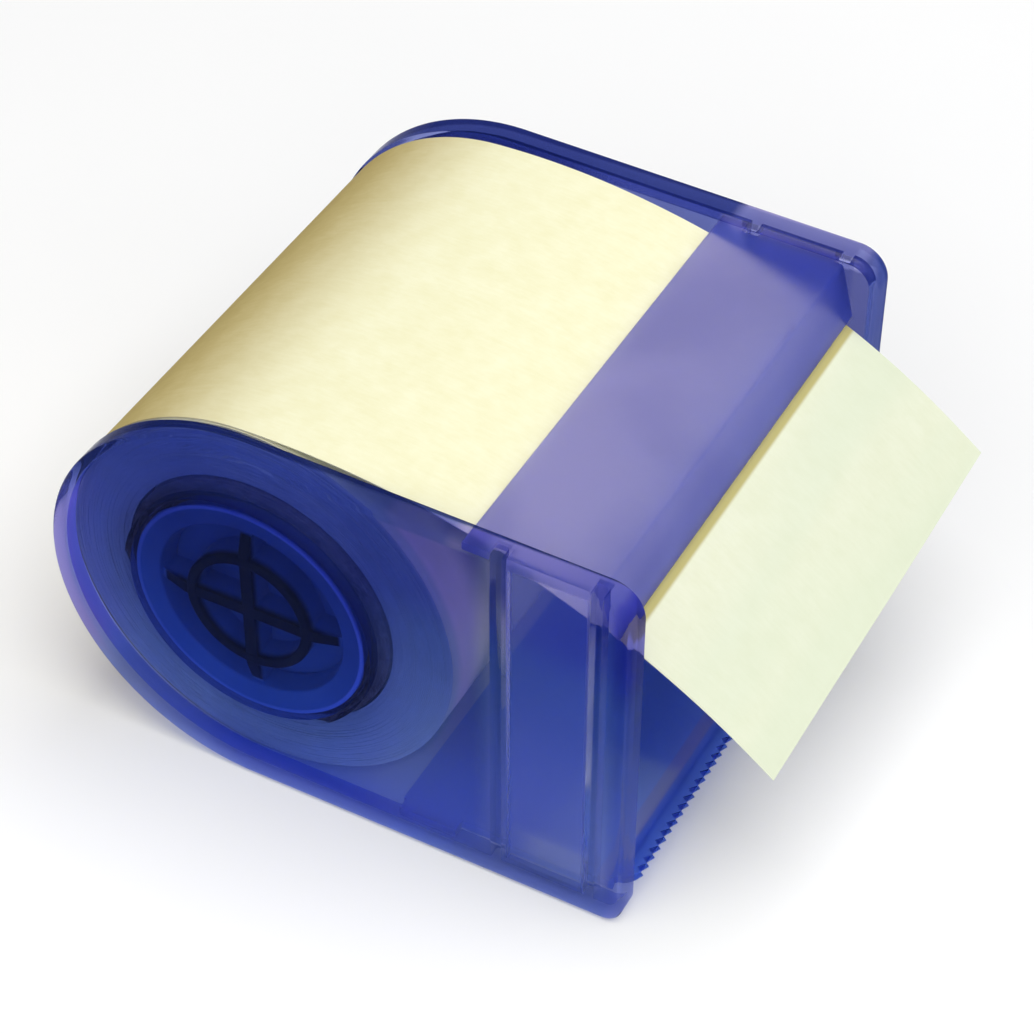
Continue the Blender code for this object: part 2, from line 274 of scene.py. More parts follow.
def shell_rings(side):
    rings = []

    def add(inset, depth):
        y = side * (SHELL_HALF_W - depth)
        rings.append([(x, y, z) for x, z in side_outline(inset)])

    for i in range(9):
        a = math.pi / 2 * i / 8
        add(EDGE_R * (1 - math.sin(a)), EDGE_R * (1 - math.cos(a)))
    for i in range(5):
        a = math.pi / 2 * i / 4
        add(RIM_EDGE_R * (1 - math.cos(a)), RIM_DEPTH - RIM_EDGE_R * (1 - math.sin(a)))
    for i in range(5):
        a = math.pi / 2 * i / 4
        add(RIM_T - RIM_EDGE_R * (1 - math.sin(a)), RIM_DEPTH - RIM_EDGE_R * (1 - math.cos(a)))
    for i in range(5):
        a = math.pi / 2 * i / 4
        add(RIM_T + INNER_R * (1 - math.cos(a)), SHELL_WALL + INNER_R * (1 - math.sin(a)))
    return rings


shells = {}
for name, side in (("left", -1), ("right", 1)):
    inner = SHELL_HALF_W - SHELL_WALL

    def span(a, b):
        return tuple(sorted((side * a, side * b)))

    shell = to_object(name + "_shell_moulding", loft(shell_rings(side)))
    collar = turned([(r, side * y) for r, y in rounded_outline(
        [(COLLAR_R_IN, inner + 0.4), (COLLAR_R_OUT, inner + 0.4), (COLLAR_R_OUT, inner - COLLAR_H),
         (COLLAR_R_IN, inner - COLLAR_H)], [0, 0, 0.25, 0.25], 4)], 128)
    steps = [("UNION", to_object(name + "_collar", collar))]
    for rib, x0 in (("rear", REAR_RIB_X), ("front", FRONT_RIB_X)):
        outline = rounded_outline([(x0, inner + 0.4), (x0 + RIB_T, inner + 0.4), (x0 + RIB_T, inner - RIB_H), (x0, inner - RIB_H)],
                                  [0, 0, 0.25, 0.25], 4)
        z0, z1 = -SHELL_R + 0.5, shell_top(x0) - 0.5
        bm = loft([[(x, side * y, z) for x, y in outline] for z in (z0, z1)])
        steps.append(("UNION", to_object(name + "_" + rib + "_rib", bm)))
    combine(shell, steps)
    shade(shell)
    shells[name] = shell


# ---------------------------------------------------------------- front frame
def bridge_top(x):
    return shell_top(x) - RIM_T - 0.25


lip_x, lip_z = LIP_BOTTOM[0], LIP_BOTTOM[1] - AXIS_Z
front_top = bridge_top(BRIDGE_FRONT_X)
bridge_outline = rounded_outline(
    [(BRIDGE_REAR_X, bridge_top(BRIDGE_REAR_X)), (BRIDGE_FRONT_X, front_top), (lip_x, lip_z), (lip_x - LIP_T, lip_z + 0.62),
     (BRIDGE_FRONT_X - LIP_T - 0.25, front_top - BRIDGE_T), (BRIDGE_REAR_X, bridge_top(BRIDGE_REAR_X) - BRIDGE_T)],
    [0.16, 0.55, 0.14, 0.14, 0.5, 0.16], 6)
front = to_object("front_frame_moulding", prism(bridge_outline, -BRIDGE_HALF_W, BRIDGE_HALF_W))
steps = []
for name, side in (("left", -1), ("right", 1)):
    def span(a, b):
        return tuple(sorted((side * a, side * b)))

    ear = [(BRIDGE_REAR_X, bridge_top(BRIDGE_REAR_X)), (EAR_FRONT_X, bridge_top(EAR_FRONT_X)),
           (EAR_FRONT_X, bridge_top(EAR_FRONT_X) - BRIDGE_T), (BRIDGE_REAR_X, bridge_top(BRIDGE_REAR_X) - BRIDGE_T)]
    steps.append(("UNION", to_object(name + "_ear", prism(rounded_outline(ear, [0.16, 0.16, 0.16, 0.16], 3), *span(BRIDGE_HALF_W - 0.4, EAR_HALF_W)))))
    steps.append(("DIFFERENCE", to_object(name + "_notch", block(
        (REAR_RIB_X - FRAME_GAP, REAR_RIB_X + RIB_T + FRAME_GAP), span(BRIDGE_HALF_W - 0.1, EAR_HALF_W + 1.0),
        (bridge_top(REAR_RIB_X) - 2.0, bridge_top(REAR_RIB_X) + 1.0)))))
    steps.append(("UNION", to_object(name + "_web", block(
        WEB_X, span(EAR_HALF_W - WEB_T, EAR_HALF_W), (FLOOR_Z[0] - AXIS_Z, bridge_top(WEB_X[1]) - BRIDGE_T / 2)))))
floor_z = (FLOOR_Z[0] - AXIS_Z, FLOOR_Z[1] - AXIS_Z)
steps.append(("UNION", to_object("floor_plate", block(FLOOR_X, (-BRIDGE_HALF_W, BRIDGE_HALF_W), floor_z))))
for name, xs in (("mid", WEB_X), ("tab", FLOOR_TAB_X)):
    steps.append(("UNION", to_object("floor_" + name, block(xs, (-EAR_HALF_W, EAR_HALF_W), floor_z))))

root = Vector((BLADE_ROOT[0], 0, BLADE_ROOT[1] - AXIS_Z))
tip = Vector((BLADE_TIP[0], 0, BLADE_TIP[1] - AXIS_Z))
run, reach = (tip - root).normalized(), (tip - root).length
up = Vector((-run.z, 0, run.x))
pitch = 2 * BLADE_HALF_W / TOOTH_COUNT
outline = [(0.0, -BLADE_HALF_W)]
for i in range(TOOTH_COUNT):
    y0 = -BLADE_HALF_W + i * pitch
    outline.append((reach - TOOTH_H, y0))
    outline.append((reach - 0.04, y0 + pitch * 0.46))
    outline.append((reach, y0 + pitch * 0.5))
    outline.append((reach - 0.04, y0 + pitch * 0.54))
outline += [(reach - TOOTH_H, BLADE_HALF_W), (0.0, BLADE_HALF_W)]
bm = bmesh.new()
low = [bm.verts.new(root + run * t + Vector((0, y, 0)) - up * BLADE_T / 2) for t, y in outline]
# the teeth are ground to an edge: their upper face falls towards the points
high = [bm.verts.new(root + run * t + Vector((0, y, 0)) + up * (BLADE_T / 2 - 0.45 * max(0.0, (t - reach + 1.3) / 1.3)))
        for t, y in outline]
bm.faces.new(list(reversed(low)))
top_faces = []
n = len(outline)
for i in range(n):
    j = (i + 1) % n
    bm.faces.new((low[i], low[j], high[j], high[i]))
bm.faces.new(high)
bmesh.ops.triangulate(bm, faces=[f for f in bm.faces if len(f.verts) > 4])
steps.append(("UNION", to_object("tear_edge", bm)))
combine(front, steps)
soften(front, 0.12, 2, 50.0)
shade(front)


# ---------------------------------------------------------------- hubs
hubs = {}
for name, side in (("left", -1), ("right", 1)):
    profile = rounded_outline(
        [(HUB_CUP_R - 0.5, HUB_FLOOR_Y), (HUB_CUP_R, HUB_CUP_Y), (HUB_RIM_R, HUB_RIM_Y), (HUB_RIM_R, HUB_SHOULDER_Y),
         (HUB_SKIRT_R, HUB_SHOULDER_Y), (HUB_SKIRT_R, HUB_SKIRT_Y), (HUB_SKIRT_IN_R, HUB_SKIRT_Y),
         (HUB_SKIRT_IN_R, HUB_FLOOR_Y - HUB_FLOOR_T)],
        [0.45, 0.35, 0.22, 0.1, 0.1, 0.3, 0.2, 0.4], 5)
    profile = [(0, HUB_FLOOR_Y)] + profile + [(0, HUB_FLOOR_Y - HUB_FLOOR_T)]
    hub = to_object(name + "_hub_moulding", turned([(r, side * y) for r, y in profile], 144))
    ring = turned([(r, side * y) for r, y in rounded_outline(
        [(HUB_RING_R[0], HUB_FLOOR_Y - 0.4), (HUB_RING_R[1], HUB_FLOOR_Y - 0.4), (HUB_RING_R[1], HUB_RIB_Y), (HUB_RING_R[0], HUB_RIB_Y)],
        [0, 0, 0.22, 0.22], 4)], 112)
    w, r = HUB_RIB_W / 2, HUB_CUP_R + 0.6
    plus = [(r, -w), (r, w), (w, w), (w, r), (-w, r), (-w, w), (-r, w), (-r, -w), (-w, -w), (-w, -r), (w, -r), (w, -w)]
    y0, y1 = sorted((side * (HUB_FLOOR_Y - 0.5), side * (HUB_RIB_Y - 0.1)))
    cross = to_object(name + "_cross", prism(plus, y0, y1))
    # the arms fall away outside the ring
    fall = [(0, HUB_FLOOR_Y - 0.8), (HUB_CUP_R + 0.9, HUB_FLOOR_Y - 0.8), (HUB_CUP_R + 0.9, HUB_ARM_END_Y - 0.25),
            (HUB_CUP_R, HUB_ARM_END_Y), (HUB_RING_R[1], HUB_RIB_Y), (0, HUB_RIB_Y)]
    combine(cross, [("INTERSECT", to_object(name + "_fall", turned([(r, side * y) for r, y in fall], 96)))])
    combine(hub, [("UNION", to_object(name + "_ring", ring)), ("UNION", cross)])
    soften(hub, 0.14, 2, 60.0)
    shade(hub)
    hubs[name] = hub


# ---------------------------------------------------------------- core and wound paper
def ragged_tube(name, r_in, r_out, half, plies, steps, ply_jitter, fibre, seed):
    """A wound tube whose ends show the edges of its plies, each a little in or out and not quite even."""
    bm = bmesh.new()
    radii = [r_in + (r_out - r_in) * k / plies for k in range(plies + 1)]

    def end(side):
        rows = []
        for k in range(plies):
            base = ply_jitter * noise.noise(Vector((seed + 7.3 * k, side * 3.1, 0.5)))
            for r in (radii[k] + 0.04 * (radii[k + 1] - radii[k]), radii[k + 1] - 0.04 * (radii[k + 1] - radii[k])):
                if k == 0 and r < radii[0] + 0.5 * (radii[1] - radii[0]):
                    r = radii[0]
                if k == plies - 1 and r > radii[-1] - 0.5 * (radii[1] - radii[0]):
                    r = radii[-1]
                row = []
                for i in range(steps):
                    a = 2 * math.pi * i / steps
                    p = Vector((math.cos(a), math.sin(a), 0))
                    y = half + base + fibre * noise.noise(p * 2.2 + Vector((seed, 1.7 * k, side * 5.0)))
                    y += 0.6 * fibre * noise.noise(p * 9.0 + Vector((seed, 2.9 * k, side * 5.0)))
                    row.append(bm.verts.new((r * p.x, side * y, r * p.y)))
                rows.append(row)
        return rows

    near, far = end(-1), end(1)
    rows = near + list(reversed(far))
    for k, a in enumerate(rows):
        b = rows[(k + 1) % len(rows)]
        for i in range(steps):
            j = (i + 1) % steps
            bm.faces.new((a[i], a[j], b[j], b[i]))
    return to_object(name, bm)


core = ragged_tube("core_tube", CORE_R_IN, CORE_R_OUT, CORE_HALF_L - 0.1, 5, 256, 0.10, 0.16, 3.0)
shade(core, 50)
roll = ragged_tube("wound_paper", ROLL_R_IN, ROLL_R, PAPER_HALF_W, 44, 192, 0.09, 0.05, 11.0)
shade(roll, 50)

# ---------------------------------------------------------------- outermost turn and free end, one sheet
CENTRE = Vector((ARC_X, ARC_TOP - ARC_R - AXIS_Z))
LINE = -CENTRE                                   # from the arc's middle to the roll axis
WRAP_R = ARC_R - LINE.length                     # the wrap and the arc share a tangent
LEAVE = LINE.normalized() * WRAP_R
leave_angle = math.atan2(LEAVE.y, LEAVE.x)
arc_start = math.atan2(LEAVE.y - CENTRE.y, LEAVE.x - CENTRE.x)
arc_end = math.acos((TIP_X - 0.05 - ARC_X) / ARC_R)
WRAP_FROM = math.radians(268)
wrap_len = (WRAP_FROM - leave_angle) * WRAP_R
free_len = (arc_start - arc_end) * ARC_R
SHEET_LEN = wrap_len + free_len


def sheet_point(s):
    """(place, normal) in the side view at a length s along the sheet."""
    if s < wrap_len:
        a = WRAP_FROM - s / WRAP_R
        n = Vector((math.cos(a), math.sin(a)))
        return n * WRAP_R, n
    a = arc_start - (s - wrap_len) / ARC_R
    n = Vector((math.cos(a), math.sin(a)))
    return CENTRE + n * ARC_R, n


def sheet_mesh():
    bm = bmesh.new()
    n_len, n_wid = 180, 44
    layers = []
    for sign in (1, -1):
        rows = []
        for i in range(n_len + 1):
            s = SHEET_LEN * i / n_len
            p, n = sheet_point(s)
            free = min(max((s - wrap_len - 42.0) / 16.0, 0.0), 1.0)
            row = []
            for j in range(n_wid + 1):
                v = -1 + 2 * j / n_wid
                edge = 0.035 * noise.noise(Vector((s * 0.11, 4.0 * v, 1.5)))
                y = v * PAPER_HALF_W + edge * abs(v) ** 8
                # the free end is not quite flat
                lift = free * (0.16 * noise.noise(Vector((s * 0.045, v * 1.1, 8.0))) - 0.10 * v * v)
                off = sign * SHEET_T / 2 + lift
                row.append(bm.verts.new((p.x + n.x * off, y, p.y + n.y * off)))
            rows.append(row)
        layers.append(rows)
    top, low = layers
    for i in range(n_len):
        for j in range(n_wid):
            bm.faces.new((top[i][j], top[i][j + 1], top[i + 1][j + 1], top[i + 1][j]))
            bm.faces.new((low[i][j], low[i + 1][j], low[i + 1][j + 1], low[i][j + 1]))
    for i in range(n_len):
        for j in (0, n_wid):
            bm.faces.new((top[i][j], top[i + 1][j], low[i + 1][j], low[i][j]))
    for j in range(n_wid):
        for i in (0, n_len):
            bm.faces.new((top[i][j], top[i][j + 1], low[i][j + 1], low[i][j]))
    return bm


sheet = to_object("drawn_paper", sheet_mesh())
shade(sheet, 40)


# ---------------------------------------------------------------- materials
def nodes_of(name):
    mat = bpy.data.materials.new(name)
    mat.use_nodes = True
    nt = mat.node_tree
    nt.nodes.clear()
    out = nt.nodes.new("ShaderNodeOutputMaterial")
    bsdf = nt.nodes.new("ShaderNodeBsdfPrincipled")
    nt.links.new(bsdf.outputs["BSDF"], out.inputs["Surface"])
    coord = nt.nodes.new("ShaderNodeTexCoord")
    return mat, nt, out, bsdf, coord.outputs["Object"]


def noise_tex(nt, vector, scale, detail=2.0, rough=0.5, stretch=None):
    if stretch is not None:
        mapping = nt.nodes.new("ShaderNodeMapping")
        mapping.inputs["Scale"].default_value = stretch
        nt.links.new(vector, mapping.inputs["Vector"])
        vector = mapping.outputs["Vector"]
    tex = nt.nodes.new("ShaderNodeTexNoise")
    tex.inputs["Scale"].default_value = scale
    tex.inputs["Detail"].default_value = detail
    tex.inputs["Roughness"].default_value = rough
    nt.links.new(vector, tex.inputs["Vector"])
    return tex.outputs["Fac"]


def ranged(nt, value, a0, a1, b0, b1, smooth=False):
    node = nt.nodes.new("ShaderNodeMapRange")
    node.interpolation_type = "SMOOTHSTEP" if smooth else "LINEAR"
    for key, x in (("From Min", a0), ("From Max", a1), ("To Min", b0), ("To Max", b1)):
        node.inputs[key].default_value = x
    nt.links.new(value, node.inputs["Value"])
    return node.outputs["Result"]


def math_node(nt, operation, a, b=None):
    node = nt.nodes.new("ShaderNodeMath")
    node.operation = operation
    for i, x in enumerate((a, b)):
        if x is None:
            continue
        if isinstance(x, (int, float)):
            node.inputs[i].default_value = x
        else:
            nt.links.new(x, node.inputs[i])
    return node.outputs[0]


def blend_colour(nt, factor, a, b):
    node = nt.nodes.new("ShaderNodeMix")
    node.data_type = "RGBA"
    nt.links.new(factor, node.inputs["Factor"])
    for key, x in (("A", a), ("B", b)):
        socket = next(s for s in node.inputs if s.name == key and s.type == "RGBA")
        if isinstance(x, tuple):
            socket.default_value = (*x, 1.0)
        else:
            nt.links.new(x, socket)
    return next(s for s in node.outputs if s.type == "RGBA")


def bump(nt, height, strength, distance, normal=None):
    node = nt.nodes.new("ShaderNodeBump")
    node.inputs["Strength"].default_value = strength
    node.inputs["Distance"].default_value = distance
    nt.links.new(height, node.inputs["Height"])
    if normal is not None:
        nt.links.new(normal, node.inputs["Normal"])
    return node.outputs["Normal"]


def clear_plastic(name, upper, lower_lit, front, front_at, deeper, rough, ior, milky, absorb, density, seed):
    """Tinted see-through plastic: a clear body with a cloudy tint that changes low down and at the front as painted
    light and shade, and uneven gloss, the faint ripple of a moulded wall, a little milky blue pigment that catches the
    light, painted paler low down and dark over the hub, and a body that takes light by its thickness. A shell's rim,
    nose, heel and flange edge carry painted light and shade and its rib roots painted pale lines; the frame is clearer
    in its webs and bluer at its blade, with a painted pool of light on its floor."""
    mat, nt, out, bsdf, at = nodes_of(name)
    split = nt.nodes.new("ShaderNodeSeparateXYZ")
    nt.links.new(at, split.inputs["Vector"])
    x, y, z = (split.outputs[k] for k in "XYZ")
    out_by = math_node(nt, "ABSOLUTE", y)
    # painted light and shade: low down the tint changes, standing in for light from below; ahead it is painted pale on
    # the near shell and darker on the far shell and the frame's front
    ahead = ranged(nt, x, *front_at, 0, 1, True)
    lit_from_below = ranged(nt, z, 0.006, 0.034, 1, 0, True)
    shift = nt.nodes.new("ShaderNodeVectorMath")
    shift.operation = "ADD"
    shift.inputs[1].default_value = (seed, 0.37 * seed, -seed)
    nt.links.new(at, shift.inputs[0])
    at = shift.outputs["Vector"]
    cloud = ranged(nt, noise_tex(nt, at, 70.0, 3.0, 0.55), 0.32, 0.68, 0, 1, True)
    deep, pale = [blend_colour(nt, ahead, blend_colour(nt, lit_from_below, upper[i], lower_lit[i]), front[i]) for i in (0, 1)]
    tint = blend_colour(nt, cloud, deep, pale)
    smear = ranged(nt, noise_tex(nt, at, 260.0, 3.0, 0.6, (1.0, 1.0, 0.35)), 0.3, 0.7, rough[0], rough[1])
    haze = blend_colour(nt, cloud, (0.075, 0.150, 0.900), (0.110, 0.200, 0.960))
    if deeper is not None:
        def every(*masks):
            whole = masks[0]
            for m in masks[1:]:
                whole = math_node(nt, "MULTIPLY", whole, m)
            return whole

        def from_axis(ahead_by, above_by, rear_only):
            across = math_node(nt, "SUBTRACT", x, (AXIS_X + ahead_by) * MM)
            if rear_only:
                across = math_node(nt, "MINIMUM", across, 0.0)
            rise = math_node(nt, "SUBTRACT", z, (AXIS_Z + above_by) * MM)
            return math_node(nt, "SQRT", math_node(nt, "ADD", math_node(nt, "MULTIPLY", across, across), math_node(nt, "MULTIPLY", rise, rise)))

        reach = from_axis(0.0, 0.0, True)
        # painted light: paler beside the roll, where nothing lies close behind the wall, and at the heel; the foot is
        # tinted darker towards the front
        if deeper["beside"] is not None:
            beside = every(ranged(nt, from_axis(2.0, 4.0, False), 0.0214, 0.0224, 0, 1, True), ranged(nt, x, *front_at, 1, 0, True),
                           math_node(nt, "MAXIMUM", ranged(nt, x, -0.004, 0.002, 0, 1, True), ranged(nt, z, 0.012, 0.020, 1, 0, True)))
            tint = blend_colour(nt, beside, tint, blend_colour(nt, ranged(nt, z, 0.010, 0.022, 0, 1, True), *deeper["beside"]))
            heel = every(ranged(nt, reach, 0.0198, 0.0206, 0, 1, True), ranged(nt, z, 0.028, 0.034, 1, 0, True),
                         ranged(nt, z, 0.008, 0.012, 0, 1, True), ranged(nt, x, -0.031, -0.027, 1, 0, True))
            tint = blend_colour(nt, heel, tint, deeper["heel"])
        foot = every(ranged(nt, z, 0.0022, 0.0045, 1, 0, True), ranged(nt, x, 0.002, 0.010, 0, 1, True))
        tint = blend_colour(nt, foot, tint, (0.40, 0.47, 0.86))
        # painted light and shade on the upper rim: darker towards the rear, paler ahead
        edge = every(ranged(nt, reach, 0.0206, 0.0210, 0, 1, True), ranged(nt, z, *deeper["rim_from"], 0, 1, True))
        tint = blend_colour(nt, edge, tint, blend_colour(nt, ranged(nt, x, *deeper["rim_end"], 0, 1, True), *deeper["rim"]))
        # painted light and shade on the nose and its outer face: the near shell's paler low down, the far shell's outer
        # face a dark outline
        at_nose = ranged(nt, x, 0.0232, 0.0242, 0, 1, True)
        upper_nose = ranged(nt, z, 0.028, 0.032, 0, 1, True)
        tint = blend_colour(nt, at_nose, tint, blend_colour(nt, upper_nose, *deeper["nose"]))
        tint = blend_colour(nt, every(at_nose, ranged(nt, out_by, 0.0276, 0.0282, 0, 1, True)), tint, blend_colour(nt, upper_nose, *deeper["outer"]))
        # the flange's inner edge is a painted line of its own: painted shade on one shell, a painted highlight on the
        # other
        along = math_node(nt, "MAXIMUM", edge, every(ranged(nt, x, 0.0241, 0.0243, 0, 0.4), ranged(nt, z, 0.018, 0.026, 0, 1)))
        line = every(along, ranged(nt, out_by, 0.02600, 0.02612, 1, 0))
        highlight_span = every(ranged(nt, x, 0.0076, 0.0080, 0, deeper["catches"]), ranged(nt, x, 0.0225, 0.0240, 1, 0, True))
        # a painted highlight in a band under the flange, along the highlighted edge
        under = every(ranged(nt, reach, 0.0203, 0.0206, 0, 1), ranged(nt, reach, 0.0211, 0.0212, 1, 0), ranged(nt, out_by, 0.0277, 0.0278, 1, 0))
        tint = blend_colour(nt, every(highlight_span, under), tint, (0.70, 0.68, 0.95))
        tint = blend_colour(nt, line, tint, deeper["painted_edge_line"])
        # a painted highlight: the wall is painted clearer in a thin line below the flange
        sight = math_node(nt, "ADD", z, math_node(nt, "MULTIPLY", math_node(nt, "SUBTRACT", out_by, 0.0278), 1.07))
        clear = every(highlight_span, ranged(nt, sight, 0.0403, 0.0406, 0, 1), ranged(nt, sight, 0.0414, 0.0417, 1, 0), ranged(nt, out_by, 0.0277, 0.0278, 0, 1))
        tint = blend_colour(nt, clear, tint, (0.62, 0.60, 0.92))
        # painted light: the milk is paler low down and greener-blue in the panel beside the roll
        low = every(ranged(nt, z, 0.001, 0.034, 1, 0, True), ranged(nt, x, -0.008, 0.006, 0, 1, True))
        low = math_node(nt, "MAXIMUM", low, ranged(nt, z, 0.0012, 0.0040, 0.85, 0, True))
        haze = blend_colour(nt, low, haze, (0.62, 0.64, 1.00))
        panel = every(ranged(nt, x, -0.004, 0.006, 0, 0.35, True), ranged(nt, z, 0.030, 0.036, 1, 0, True))
        haze = blend_colour(nt, panel, haze, (0.28, 0.72, 1.00))
        # a painted highlight in the milk along the flange's inner edge
        haze = blend_colour(nt, every(line, highlight_span), haze, (0.95, 0.90, 1.00))
        # a rib is as clear as the wall, painted highlights run as fine pale lines along its roots on the wall, and its
        # top is deep
        inner_face = every(ranged(nt, out_by, 0.02765, 0.02772, 0, 1), ranged(nt, out_by, 0.02788, 0.02795, 1, 0), ranged(nt, z, 0.0035, 0.0040, 0, 1))
        for rib_x in (REAR_RIB_X, FRONT_RIB_X):
            for offset, amount in ((-0.16, 0.55), (RIB_T + 0.16, 0.25)):
                root = math_node(nt, "ABSOLUTE", math_node(nt, "SUBTRACT", x, (AXIS_X + rib_x + offset) * MM))
                haze = blend_colour(nt, every(ranged(nt, root, 0.00010, 0.00018, amount, 0), inner_face), haze, (0.90, 0.92, 1.00))
            off_middle = math_node(nt, "ABSOLUTE", math_node(nt, "SUBTRACT", x, (AXIS_X + rib_x + RIB_T / 2) * MM))
            rib = every(ranged(nt, off_middle, 0.0007, 0.0008, 1, 0), ranged(nt, out_by, 0.02765, 0.02772, 1, 0), ranged(nt, reach, 0.0203, 0.0206, 1, 0))
            tint = blend_colour(nt, rib, tint, deeper["rib"])
            tint = blend_colour(nt, every(rib, ranged(nt, z, 0.033, 0.037, 0, 1, True)), tint, deeper["rib_top"])
            # painted shade where the highlighted flange edge meets a rib
            tint = blend_colour(nt, every(line, highlight_span, ranged(nt, off_middle, 0.0008, 0.0010, 1, 0)), tint, (0.09, 0.10, 0.34))
    else:
        # the frame is frosted, but its webs are as smooth and clear as the shells they lie against
        web = math_node(nt, "MULTIPLY", ranged(nt, out_by, 0.02615, 0.02625, 0, 1), ranged(nt, z, 0.0408, 0.0410, 1, 0))
        for near, past in ((WEB_X[0], 0.1), (WEB_X[1], -0.1)):
            web = math_node(nt, "MULTIPLY", web, ranged(nt, x, (AXIS_X + near + past) * MM, (AXIS_X + near + 2 * past) * MM, 0, 1))
        smear = math_node(nt, "MULTIPLY", smear, ranged(nt, web, 0, 1, 1.0, 0.16))
        tint = blend_colour(nt, web, tint, (0.94, 0.93, 0.98))
        low = ranged(nt, z, 0.0060, 0.0065, 1, 0)
        tint = blend_colour(nt, math_node(nt, "MULTIPLY", low, ranged(nt, x, 0.0224, 0.0227, 0, 1)), tint, (0.20, 0.36, 0.90))
        # a painted pool of light on the floor towards the near wall
        light_pool = math_node(nt, "MULTIPLY", ranged(nt, x, 0.012, 0.016, 0, 1, True), ranged(nt, y, -0.0108, -0.0090, 1, 0, True))
        light_pool = math_node(nt, "MULTIPLY", light_pool, ranged(nt, x, 0.0221, 0.0226, 1, 0))
        haze = blend_colour(nt, math_node(nt, "MULTIPLY", light_pool, low), haze, (0.78, 0.95, 1.00))
    nt.links.new(tint, bsdf.inputs["Base Color"])
    nt.links.new(smear, bsdf.inputs["Roughness"])
    ripple = noise_tex(nt, at, 120.0, 1.0, 0.4)
    normal = bump(nt, ripple, 0.10, 0.0004)
    nt.links.new(normal, bsdf.inputs["Normal"])
    bsdf.inputs["Transmission Weight"].default_value = 1.0
    bsdf.inputs["IOR"].default_value = ior
    bsdf.inputs["Specular Tint"].default_value = (0.15, 0.25, 1.0, 1.0)
    milk = nt.nodes.new("ShaderNodeBsdfPrincipled")
    # painted shade: the wall's milk is dark where the wall lies close over the hub
    across = math_node(nt, "SUBTRACT", x, AXIS_X * MM)
    rise = math_node(nt, "SUBTRACT", z, AXIS_Z * MM)
    radius = math_node(nt, "SQRT", math_node(nt, "ADD", math_node(nt, "MULTIPLY", across, across), math_node(nt, "MULTIPLY", rise, rise)))
    nt.links.new(blend_colour(nt, ranged(nt, radius, 0.0140, 0.0175, 0, 1, True), (0.050, 0.075, 0.210), haze), milk.inputs["Base Color"])
    milk.inputs["Roughness"].default_value = 0.5
    milk.inputs["Specular IOR Level"].default_value = 0.0
    nt.links.new(normal, milk.inputs["Normal"])
    mixed = nt.nodes.new("ShaderNodeMixShader")
    mixed.inputs["Fac"].default_value = milky
    nt.links.new(bsdf.outputs["BSDF"], mixed.inputs[1])
    nt.links.new(milk.outputs["BSDF"], mixed.inputs[2])
    nt.links.new(mixed.outputs["Shader"], out.inputs["Surface"])
    if density > 0:
        body = nt.nodes.new("ShaderNodeVolumeAbsorption")
        body.inputs["Color"].default_value = (*absorb, 1.0)
        body.inputs["Density"].default_value = density
        nt.links.new(body.outputs["Volume"], out.inputs["Volume"])
    return mat


def hub_plastic(name):
    """The hub's plastic, near black on the ring and cross, with a painted highlight on its rim."""
    mat, nt, out, bsdf, at = nodes_of(name)
    cloud = noise_tex(nt, at, 140.0, 3.0, 0.55)
    tint = blend_colour(nt, ranged(nt, cloud, 0.3, 0.7, 0, 1), (0.130, 0.270, 0.430), (0.170, 0.330, 0.500))
    split = nt.nodes.new("ShaderNodeSeparateXYZ")
    nt.links.new(at, split.inputs["Vector"])
    dx = math_node(nt, "SUBTRACT", split.outputs["X"], AXIS_X * MM)
    dz = math_node(nt, "SUBTRACT", split.outputs["Z"], AXIS_Z * MM)
    radius = math_node(nt, "SQRT", math_node(nt, "ADD", math_node(nt, "MULTIPLY", dx, dx), math_node(nt, "MULTIPLY", dz, dz)))
    depth = math_node(nt, "ABSOLUTE", split.outputs["Y"])
    tall = ranged(nt, depth, 0.0262, 0.0272, 0, 1, True)
    inside = ranged(nt, radius, 0.0097, 0.0101, 1, 0, True)
    # the arms' tops stay dark where they fall away outside the ring
    arm = ranged(nt, math_node(nt, "MINIMUM", math_node(nt, "ABSOLUTE", dx), math_node(nt, "ABSOLUTE", dz)), 0.00060, 0.00064, 1, 0)
    arm = math_node(nt, "MULTIPLY", arm, ranged(nt, depth, 0.0248, 0.0251, 0, 1, True))
    near_black = math_node(nt, "MULTIPLY", math_node(nt, "MAXIMUM", tall, arm), inside)
    # a painted highlight on the rim's outer edge, strongest at the upper front
    rim = math_node(nt, "MULTIPLY", ranged(nt, radius, 0.0124, 0.0126, 0, 1, True), ranged(nt, depth, 0.0269, 0.0271, 0, 1, True))
    rim = math_node(nt, "MULTIPLY", rim, ranged(nt, math_node(nt, "ADD", dx, dz), -0.016, 0.016, 0.35, 1.0, True))
    tint = blend_colour(nt, rim, tint, (0.50, 0.66, 1.00))
    nt.links.new(blend_colour(nt, near_black, tint, (0.002, 0.003, 0.008)), bsdf.inputs["Base Color"])
    bsdf.inputs["Specular IOR Level"].default_value = 0.15
    nt.links.new(ranged(nt, noise_tex(nt, at, 500.0, 2.0), 0.3, 0.7, 0.28, 0.42), bsdf.inputs["Roughness"])
    nt.links.new(bump(nt, noise_tex(nt, at, 1800.0, 2.0), 0.08, 0.00005), bsdf.inputs["Normal"])
    return mat


